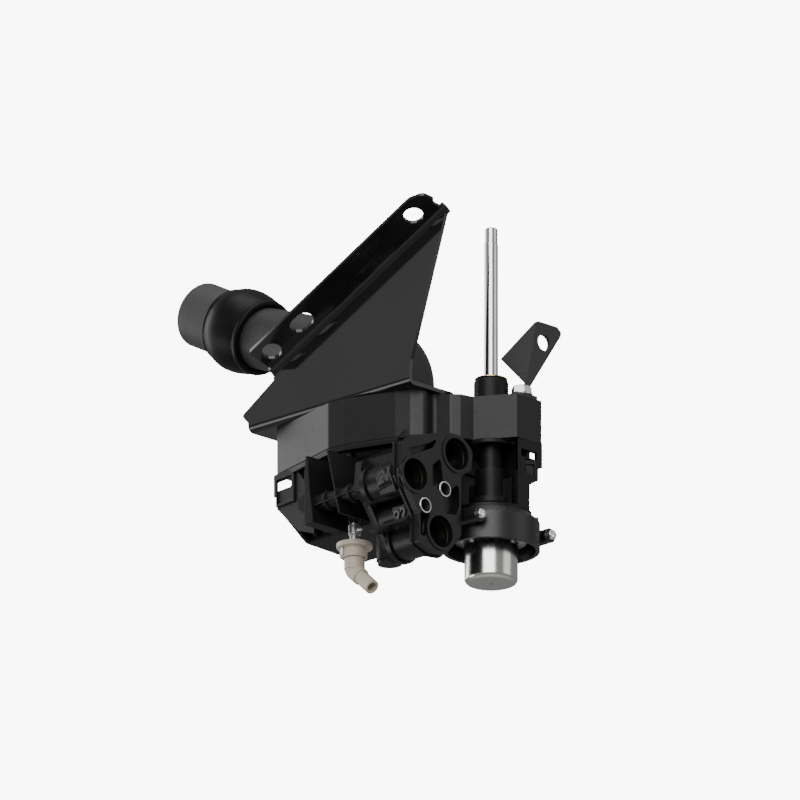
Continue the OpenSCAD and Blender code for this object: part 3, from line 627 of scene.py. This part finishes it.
# %% Spin the ribbed hose
low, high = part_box("drain_hose")
drain_x, drain_y = (low.x + high.x) / 2 / mm, (low.y + high.y) / 2 / mm
hose_low, hose_top = low.z / mm + 0.1, high.z / mm
bore_r, hose_r, rib_r = 2.0, 3.6, 4.7
ribs = []
for down in (2, 5, 8):
    top = hose_top - down
    ribs += [(hose_r, top + 0.1), (rib_r, top - 0.2), (rib_r, top - 1.3), (hose_r, top - 1.6)]
hose = spun("drain_hose_ribbed", (drain_x, drain_y, 0), (0, 0, 1), eased(
    [(bore_r, hose_top), (hose_r, hose_top)] + ribs
    + [(hose_r, hose_low), (bore_r, hose_low)], rounds=1), steps=48)
dress(hose, "drain_hose", smooth=60)
print("hose faces:", len(hose.data.polygons))

# %% [markdown]
# ### Screws and bolts
#
# A hexagon head is a six-sided bar whose corners are turned off, so it is the overlap of a
# prism and a turned blank. A bevel would round the corners evenly, which no real bolt shows.
# The clamp screws and the can's screws have round heads with a hexagon socket.

# %% Heads with turned corners and sockets


def hexagon_head(name, place, axis, across, height):
    """A bolt head with its corners chamfered, standing on place."""
    radius = across / 2 / math.cos(math.radians(30))
    place, axis = Vector(place), Vector(axis).normalized()
    head = prism(name, place + axis * height / 2, radius, height, axis)
    blank = spun("blank", place, axis, [(0, -1), (radius + 1, -1), (radius + 1, height * 0.55),
                                        (radius - 0.2, height * 0.74),
                                        (across / 2 - 0.5, height - 0.1), (0, height - 0.1)],
                 48, closed=False)
    return cut_with(head, blank, "INTERSECT")


def joined(*pieces):
    select_only(*pieces)
    bpy.ops.object.join()
    return bpy.context.active_object


def round_head(name, place, axis, radius, height, socket):
    """A cap head with a hexagon socket, standing on place."""
    place, axis = Vector(place), Vector(axis).normalized()
    head = spun(name, place, axis, [(0, 0), (radius - 0.2, 0), (radius, 0.2)]
                + corner(radius - 1.2, height - 1.2, 1.2, 0, 90, 5) + [(0, height)], 48,
                closed=False)
    return cut_with(head, prism("key", place + axis * height, socket, height, axis))


# %% [markdown]
# ### The hexagon bolts
#
# One bolt clamps the small bracket on the valve's block, and four hold the big bracket. All
# are M8 with a washer face and a 13 mm hexagon, so one function makes them.

# %% Cover bolt and bracket bolts
UP = Vector((0, 0, 1))


def flange_bolt(name, x, y, seat, shank_low):
    """A hexagon bolt with a washer face, standing on seat."""
    shank = spun(name, (x, y, 0), UP, [(0, shank_low), (3.4, shank_low), (4, shank_low + 0.8),
                                       (4, seat), (7.9, seat), (8.0, seat + 0.2),
                                       (8.0, seat + 1.2), (7.6, seat + 1.5), (0, seat + 1.5)],
                 48, closed=False)
    return joined(hexagon_head(name + "_head", (x, y, seat + 1.4), UP, 13, 5.6), shank)


low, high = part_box("cover_bolt")
bolt_at = (low + high) / 2 / mm
bolt = flange_bolt("cover_bolt_m8", bolt_at.x, bolt_at.y, high.z / mm - 7, low.z / mm)
dress(bolt, "cover_bolt", smooth=25)
BOLT_SPOTS = ((-148, -46), (-42, -44), (-140, 24), (-36, 24))
bolts = joined(*[flange_bolt(f"bracket_bolt_{k}", *spot, 4.5, -12.5)
                 for k, spot in enumerate(BOLT_SPOTS)])
bolts.name = "bracket_bolts_m8"
dress(bolts, "bracket_bolts", smooth=25)
print("hexagon bolts:", len(bolt.data.polygons) + len(bolts.data.polygons), "faces")

# %% [markdown]
# ### The socket screws
#
# Two M5 screws pull the skirt ring together, one on each side, and three small ones hold the
# can from below. Only their heads show, but each has its whole shank, because the ring and
# the can may be taken off.

# %% Clamp screws and can screws
clamp_z, clamp_side = -98, 35.5
clamp_screws = []
for side in (-clamp_side, clamp_side):
    shank = spun("shank", (0, side, clamp_z), (1, 0, 0),
                 [(0, 1), (2.1, 1), (2.5, 1.5), (2.5, 24.1), (0, 24.1)], 32, closed=False)
    head = round_head("clamp_head", (24, side, clamp_z), (1, 0, 0), 3.7, 3.5, 1.7)
    clamp_screws.append(joined(shank, head))
clamp = joined(*clamp_screws)
clamp.name = "clamp_screws_socket"
dress(clamp, "clamp_bolts", smooth=25)

screws = []
screw_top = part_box("can_screws")[1].z / mm
for spot in SCREW_SPOTS:
    shank = spun("screw", (*spot, 0), UP,
                 [(0, flange_low - 0.1), (1.65, flange_low - 0.1), (1.65, screw_top - 0.7),
                  (0.9, screw_top), (0, screw_top)], 24, closed=False)
    head = round_head("screw_head", (*spot, flange_low), -UP, 3.0, 2.4, 1.3)
    screws.append(joined(shank, head))
screws = joined(*screws)
screws.name = "can_screws_socket"
dress(screws, "can_screws", smooth=25)
print("socket screws:", len(clamp.data.polygons) + len(screws.data.polygons), "faces")

# %% [markdown]
# ### Port sleeves and the test nipple
#
# Two steel sleeves stand in the port plate for the bolts of the mating plug. Their mouths are
# countersunk so deep that only a thin ring of steel is left to see. Inside that ring the bore
# is painted dark as painted shade, so each face is given one of two finishes by its distance
# from the sleeve's axis.

# %% Spin the sleeves
sleeve_middle, half_spread, spread_turn = (-71.4, -91.45), 12.9, math.radians(39.8)
SLEEVE_SPOTS = [(sleeve_middle[0] + side * half_spread * math.cos(spread_turn),
                 sleeve_middle[1] + side * half_spread * math.sin(spread_turn))
                for side in (-1, 1)]
sleeves = joined(*[spun("sleeve", (0, y, z), (1, 0, 0),
                        [(3.25, -7), (5.7, -7), (5.7, 15.2), (5.5, 15.4), (4.9, 15.4),
                         (4.7, 15.2), (3.25, 12.6)], 48) for y, z in SLEEVE_SPOTS])
sleeves.name = "port_sleeves_turned"
dress(sleeves, "port_sleeves")
sleeves.data.materials.append(bore_painted_shade)
# Faces nearer the axis than this get the dark bore finish: painted shade inside the sleeve.
painted_shade_within = 4.88 * mm
for face in sleeves.data.polygons:
    reach = min(math.hypot(face.center.y - y * mm, face.center.z - z * mm)
                for y, z in SLEEVE_SPOTS)
    face.material_index = int(reach < painted_shade_within)

# %% [markdown]
# ### The test nipple
#
# The nipple above the drain is turned and zinc-plated, with a small spout to one side. Both
# are spun, each round its own axis, and joined.

# %% Spin the nipple and its spout
nipple_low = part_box("test_nipple")[0].z / mm
nipple = spun("test_nipple_turned", (drain_x, drain_y, nipple_low), (0, 0, 1),
              [(0, 0), (3.4, 0), (3.4, 6), (4.3, 6.8), (4.4, 7.2), (4.4, 13.8), (4.1, 14.4),
               (0, 14.4)], 48, closed=False)
spout = spun("spout", (drain_x, drain_y, nipple_low + 10), (1, -0.15, -0.12),
             [(0, 0), (1.9, 0), (1.5, 6.5), (0.9, 9), (0.4, 9.3), (0, 9.3)], 24, closed=False)
nipple = joined(spout, nipple)
dress(nipple, "test_nipple")
print("nipple:", len(nipple.data.polygons), "faces")

# %% [markdown]
# ### Snap clips and ribs
#
# The two halves of the housing snap together with a clip at each end. Each clip is a framed
# plate with a slot near the top and a hook pocket under it. The tub's front is stiffened by
# ribs, and a web behind the valve's neck ties the block to the skirt. They could be cut from
# cubes, but their outlines have slants, so an outline is drawn point by point, filled, and
# extruded.

# %% Draw an outline and extrude it


def slab(name, corners, way):
    """A plate from a flat outline in mm, extruded by the vector way."""
    points = [Vector(c) * mm for c in corners]
    bpy.ops.object.select_all(action="DESELECT")
    bpy.ops.mesh.primitive_plane_add(size=mm)
    piece = bpy.context.active_object
    piece.name = name
    bpy.ops.object.mode_set(mode="EDIT")
    bpy.ops.mesh.select_all(action="SELECT")
    bpy.ops.mesh.merge(type="CENTER")
    bpy.ops.transform.translate(value=points[0])
    for here, there in zip(points, points[1:] + points[:1]):
        bpy.ops.mesh.extrude_region_move(TRANSFORM_OT_translate={"value": there - here})
    bpy.ops.mesh.select_all(action="SELECT")
    bpy.ops.mesh.remove_doubles(threshold=0.000004)
    bpy.ops.mesh.select_all(action="SELECT")
    bpy.ops.mesh.edge_face_add()
    bpy.ops.mesh.extrude_region_move(TRANSFORM_OT_translate={"value": Vector(way) * mm})
    bpy.ops.mesh.select_all(action="SELECT")
    bpy.ops.mesh.normals_make_consistent(inside=False)
    bpy.ops.object.mode_set(mode="OBJECT")
    return piece


def added(piece, like, material, edge=0.4):
    """Softens a new piece and hangs it on the body of a node it belongs to."""
    bevel = piece.modifiers.new("edge_radius", "BEVEL")
    bevel.width, bevel.segments = edge * mm, 2
    bevel.limit_method, bevel.angle_limit = "ANGLE", math.radians(30)
    piece.data.materials.append(material)
    settle(piece, body_of(like), SLOTS[like])


# %% [markdown]
# ### The right clip
#
# It hangs under the block's right face. The slot goes through, and the hook's pocket under it
# is only a recess, so its cutter starts further out.

# %% The right snap clip and the web behind the neck
clip_x, clip_t = 22.4, 3.5
outline = [(1.5, -31.5), (1.5, -88), (11.5, -88), (12.3, -66), (21.9, -60.4), (21.9, -51.3),
           (26, -50), (26, -31.5)]
clip = slab("right_snap_clip", [(clip_x, y, z) for y, z in outline], (clip_t, 0, 0))
for base_x, (y0, z0, y1, z1) in ((clip_x - 2, (3.8, -45.3, 21.2, -40)),
                                 (clip_x + 1.8, (8.8, -57.5, 20, -46.6))):
    cut_with(clip, slab("cutter", [(base_x, y0, z0), (base_x, y1, z0), (base_x, y1, z1),
                                   (base_x, y0, z1)], (9, 0, 0)))
added(clip, "upper_housing", tub_plastic)
web = slab("neck_web", [(-14, 13, -32), (-10, 13, -87.6), (23, 13, -87.6), (23.6, 13, -32)],
           (0, 3, 0))
added(web, "barrel", tub_plastic)

# %% [markdown]
# ### The left clip
#
# The left clip stands on the tub's slanted front, so its points are measured along that
# front. In the picture white shows through its slot. A cut square to the clip would end on
# the wall behind it, so the slot is cut along the camera's line of sight.

# %% The left snap clip and the cheek below it
clip_corner = Vector((-158.4, -60.2, 0))
along = Vector((1, -0.114, 0)).normalized()
outward = Vector((along.y, -along.x, 0))


def on_front(s, z, lift=0.0):
    """A point s along the left clip's plane, lifted towards the viewer."""
    spot = clip_corner + along * s + outward * lift
    return Vector((spot.x, spot.y, z))


def front_slab(name, outline, lift, thick):
    """A plate in the left clip's plane, extruded inwards from its lift."""
    return slab(name, [on_front(s, z, lift) for s, z in outline], outward * -thick)


def seen_through(name, outline):
    """A cutter along the line of sight, which starts 8 mm in front of the clip's plane."""
    sight = Vector((-0.673, 0.673, 0.305))
    return slab(name, [on_front(s, z) - sight * 8 for s, z in outline], sight * 54)


cheek = front_slab("left_cheek", [(0.3, -33), (0.3, -50), (2.6, -51), (2.8, -59.6),
                                  (27, -81.5), (45, -88), (45, -60), (24, -33)], 0.0, 3.0)
cut_with(cheek, seen_through("window", [(4, -46.2), (20.5, -46.2), (20.5, -40), (4, -40)]))
added(cheek, "lower_housing", tub_plastic)
rim = front_slab("left_clip_rim", [(0.4, -34), (0.4, -50), (2.8, -51), (2.8, -58.5),
                                   (23.5, -58.5), (23.5, -34)], 1.4, 1.6)
cut_with(rim, front_slab("hole", [(3.6, -56.4), (19.4, -56.4), (19.4, -46.8), (20.6, -45.9),
                                  (20.6, -38.4), (3.6, -38.4)], 5, 12))
added(rim, "lower_housing", tub_plastic, 0.3)
print("left clip:", len(cheek.data.polygons) + len(rim.data.polygons), "faces")

# %% [markdown]
# ### Ribs
#
# Two ribs cross the open front of the tub, and a thin fin runs along the small pipe to the
# port block. Their outlines are drawn in the front plane and extruded to the back.

# %% Ribs and the fin in front of the tub
pillar = slab("tub_pillar", [(-86.8, -101, -44.5), (-84.4, -101, -44.5), (-82.4, -101, -70),
                             (-78.6, -101, -95.5), (-88, -101, -96), (-88, -101, -60)],
              (0, 36, 0))
added(pillar, "lower_housing", tub_plastic)
rib = slab("tub_rib", [(-67, -99.4, -44), (-65.4, -99.4, -44), (-53.4, -99.4, -94),
                       (-55, -99.4, -94)], (0, 32, 0))
added(rib, "lower_housing", tub_plastic, 0.3)
fin = slab("pipe_fin", [(-84, -99.3, -83.2), (-34, -99.3, -80.3), (-34, -99.3, -79.1),
                        (-84, -99.3, -81.9)], (0, 8, 0))
added(fin, "lower_housing", port_plastic, 0.3)
print("ribs:", sum(len(p.data.polygons) for p in (pillar, rib, fin)), "faces")

# %% [markdown]
# ### Springs
#
# The imported springs are stacks of rings, which is enough for the motion. Wire is really wound
# in a helix. A curve with a bevel could draw it, but a small disc swept by the Screw modifier
# gives the same wire with faces that close its ends. A spring gets shorter when its joint
# moves, but here each spring is only attached to its node's body and keeps its length.

# %% Wind four springs


def wound(name, base, axis, length, radius, wire, turns):
    """A coil spring from base along axis, all in mm."""
    bpy.ops.object.select_all(action="DESELECT")
    bpy.ops.mesh.primitive_circle_add(vertices=12, radius=wire / 2 * mm,
                                      fill_type="NGON", location=(radius * mm, 0, 0),
                                      rotation=(math.radians(90), 0, 0))
    piece = bpy.context.active_object
    piece.name = name
    bpy.ops.object.transform_apply(location=True, rotation=True, scale=True)
    sweep = piece.modifiers.new("winding", "SCREW")
    sweep.screw_offset = (length - wire) / turns * mm
    sweep.iterations, sweep.steps, sweep.render_steps = turns, 32, 32
    sweep.use_normal_calculate = True
    bpy.ops.object.modifier_apply(modifier="winding")
    way = Vector(axis).to_track_quat("Z", "Y").to_matrix().to_4x4()
    foot = (Vector(base) + Vector(axis) * wire / 2) * mm
    piece.matrix_world = Matrix.Translation(foot) @ way
    bpy.ops.object.transform_apply(location=True, rotation=True, scale=True)
    bpy.ops.object.mode_set(mode="EDIT")
    bpy.ops.mesh.select_all(action="SELECT")
    bpy.ops.mesh.remove_doubles(threshold=0.000002)
    bpy.ops.mesh.normals_make_consistent(inside=False)
    bpy.ops.object.mode_set(mode="OBJECT")
    return piece


def coil(name, node, axis, radius, wire, turns):
    """Winds a spring in its node's place."""
    low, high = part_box(node)
    axis = Vector(axis)
    middle = (low + high) / 2
    length = abs((high - low).dot(axis))
    base = middle - axis * length / 2
    piece = wound(name, base / mm, axis, length / mm, radius, wire, turns)
    dress(piece, node, smooth=60)
    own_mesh(piece)
    print(name, len(piece.data.polygons), "faces")


coil("graduating_spring_wound", "graduating_spring", UP, 7.2, 1.2, 5)
coil("return_spring_wound", "return_spring", UP, 10, 1.8, 7)
for port in ("21", "22"):
    coil("poppet_spring_" + port + "_wound", "poppet_spring_" + port, (1, 0, 0), 5.2, 1.1, 6)

# %% [markdown]
# ### The port numbers
#
# Circuit numbers are moulded on two pads behind the port plate. They are plain digits, so a
# text object is set on each pad, leaned a little, thickened and made a mesh. The digits wear a
# paler finish than the plastic round them, a painted highlight for their lit tops.

# %% Raise 21 and 22 on their pads


def number(text, middle, turn):
    """A raised pad with digits, turned about the X axis and centred on middle."""
    size, lean, climb, pad_depth = 12.5, 0.42, math.radians(9), 3
    stand = (Matrix.Translation(Vector(middle) * mm)
             @ Matrix.Rotation(math.radians(90 + turn), 4, "X")
             @ Matrix.Rotation(climb, 4, "Z"))
    outline = [(-8.6, -7.2), (5.4, -7.2), (9.2, 6.6), (-4.8, 6.6)]
    pad = slab("number_pad_" + text,
               [stand @ (Vector((x, y, -pad_depth)) * mm) / mm for x, y in outline],
               stand.to_3x3() @ Vector((0, 0, pad_depth)))
    added(pad, "port_block", port_plastic, 0.8)
    bpy.ops.object.select_all(action="DESELECT")
    bpy.ops.object.text_add()
    piece = bpy.context.active_object
    piece.name = "number_" + text
    piece.data.body, piece.data.size, piece.data.shear = text, size * mm, lean
    piece.data.align_x, piece.data.align_y = "CENTER", "CENTER"
    piece.data.extrude, piece.data.bevel_depth = 1.1 * mm, 0.2 * mm
    piece.data.offset = 0.12 * mm
    piece.data.bevel_resolution, piece.data.resolution_u = 1, 4
    bpy.ops.object.convert(target="MESH")
    piece.matrix_world = stand
    bpy.ops.object.transform_apply(location=True, rotation=True, scale=True)
    # The digits' paler finish is a painted highlight for their lit tops.
    piece.data.materials.append(digit_painted_highlight)
    settle(piece, body_of("port_block"), SLOTS["port_block"])
    print("number", text, "has", len(piece.data.polygons), "faces")


number("21", (-1.7, -106.4, -80.7), 6.6)
number("22", (-3.6, -88.6, -105.4), 26)

# %% [markdown]
# ### Last cuts
#
# The slot of the left clip goes right through the wall behind it, and the milky spring clip
# of the drain grips only at its two sides, so both copies are cut once more.

# %% Open the slot and split the drain's clip
wall_copy = bpy.data.objects["lower_housing_soft"]
cut_with(wall_copy, seen_through("slot", [(3.6, -46.4), (20.7, -46.4), (20.7, -39.8),
                                          (3.6, -39.8)]))
ring_copy = bpy.data.objects["drain_clip_soft"]
across, towards = Vector((0.707, 0.707, 0)), Vector((0.707, -0.707, 0))
bite = slab("bite", [Vector((drain_x, drain_y, -116)) + across * s + towards * t
                     for s, t in ((-8.4, 0), (8.4, 0), (8.4, 20), (-8.4, 20))], (0, 0, 14))
cut_with(ring_copy, bite)
print("cut:", len(wall_copy.data.polygons), "and", len(ring_copy.data.polygons), "faces")

# %% [markdown]
# ## Studio
#
# The valve hangs in front of white, so the camera sees a white world. If that world also lit
# the valve, black plastic would turn grey, so a Mix Shader gives the camera a bright backdrop
# and everything else a dim room. The pale floor lies far below. A studio is large, so its
# sizes are in metres.

# %% World and floor
world = bpy.data.worlds.new("white_room")
world.use_nodes = True
bpy.context.scene.world = world
tree = world.node_tree
room = tree.nodes["Background"]
room.inputs["Color"].default_value = (1, 1, 1, 1)
room.inputs["Strength"].default_value = 0.24
backdrop = tree.nodes.new("ShaderNodeBackground")
backdrop.inputs["Color"].default_value = (1, 1, 1, 1)
backdrop.inputs["Strength"].default_value = 9
either = tree.nodes.new("ShaderNodeMixShader")
seen = tree.nodes.new("ShaderNodeLightPath").outputs["Is Camera Ray"]
tree.links.new(seen, either.inputs[0])
tree.links.new(room.outputs[0], either.inputs[1])
tree.links.new(backdrop.outputs[0], either.inputs[2])
tree.links.new(either.outputs[0], tree.nodes["World Output"].inputs["Surface"])

floor_paint = finish("floor_paint", grey(0.78), grey(0.82), (0.6, 0.7), orange_peel, 0.0001)
bpy.ops.mesh.primitive_plane_add(size=14, location=(0, 0, -1.9))
floor = bpy.context.active_object
floor.name = "studio_floor"
floor.data.materials.append(floor_paint)
floor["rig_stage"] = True
print("room strength", round(room.inputs["Strength"].default_value, 2))

# %% [markdown]
# ### Softboxes
#
# Glossy black needs large soft lights to draw its shapes: each flat face shows what stands
# where its mirror would point. A light on the left whitens the cover's side. The strong one
# in front makes the stripe on the can and the rod. Weaker ones stand on the right, below and
# on top, and a small card is close enough to the bracket's gusset to lift only that face.

# %% Five softboxes and a card


def softbox(name, heading, height, distance, wide, tall, power):
    """An area light; heading from +X and height are in degrees, sizes in metres."""
    light = bpy.data.lights.new(name, "AREA")
    light.shape, light.size, light.size_y, light.energy = "RECTANGLE", wide, tall, power
    lamp = bpy.data.objects.new(name, light)
    way = Vector((math.cos(math.radians(heading)) * math.cos(math.radians(height)),
                  math.sin(math.radians(heading)) * math.cos(math.radians(height)),
                  math.sin(math.radians(height))))
    lamp.location = (cad_low + cad_high) / 2 + way * distance
    lamp.rotation_euler = (-way).to_track_quat("-Z", "Y").to_euler()
    bpy.context.scene.collection.objects.link(lamp)
    print(name, power, "W")


softbox("left_softbox", 190, 14, 1.5, 0.9, 1.2, 9)
softbox("gusset_card", 227, 24, 0.666, 0.42, 0.24, 0.13)
softbox("front_softbox", -50, 17, 1.6, 1.3, 1.3, 20)
softbox("right_softbox", 26, 12, 1.6, 0.9, 1.2, 2.6)
softbox("low_softbox", 222, -22, 1.6, 0.7, 0.7, 4)
softbox("top_softbox", -60, 78, 1.6, 1.2, 1.2, 12)

# %% [markdown]
# ## The dressed valve's bounds
#
# The bounds of the dressed valve are measured at the end.

# %% Measure the dressed valve
low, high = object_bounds()
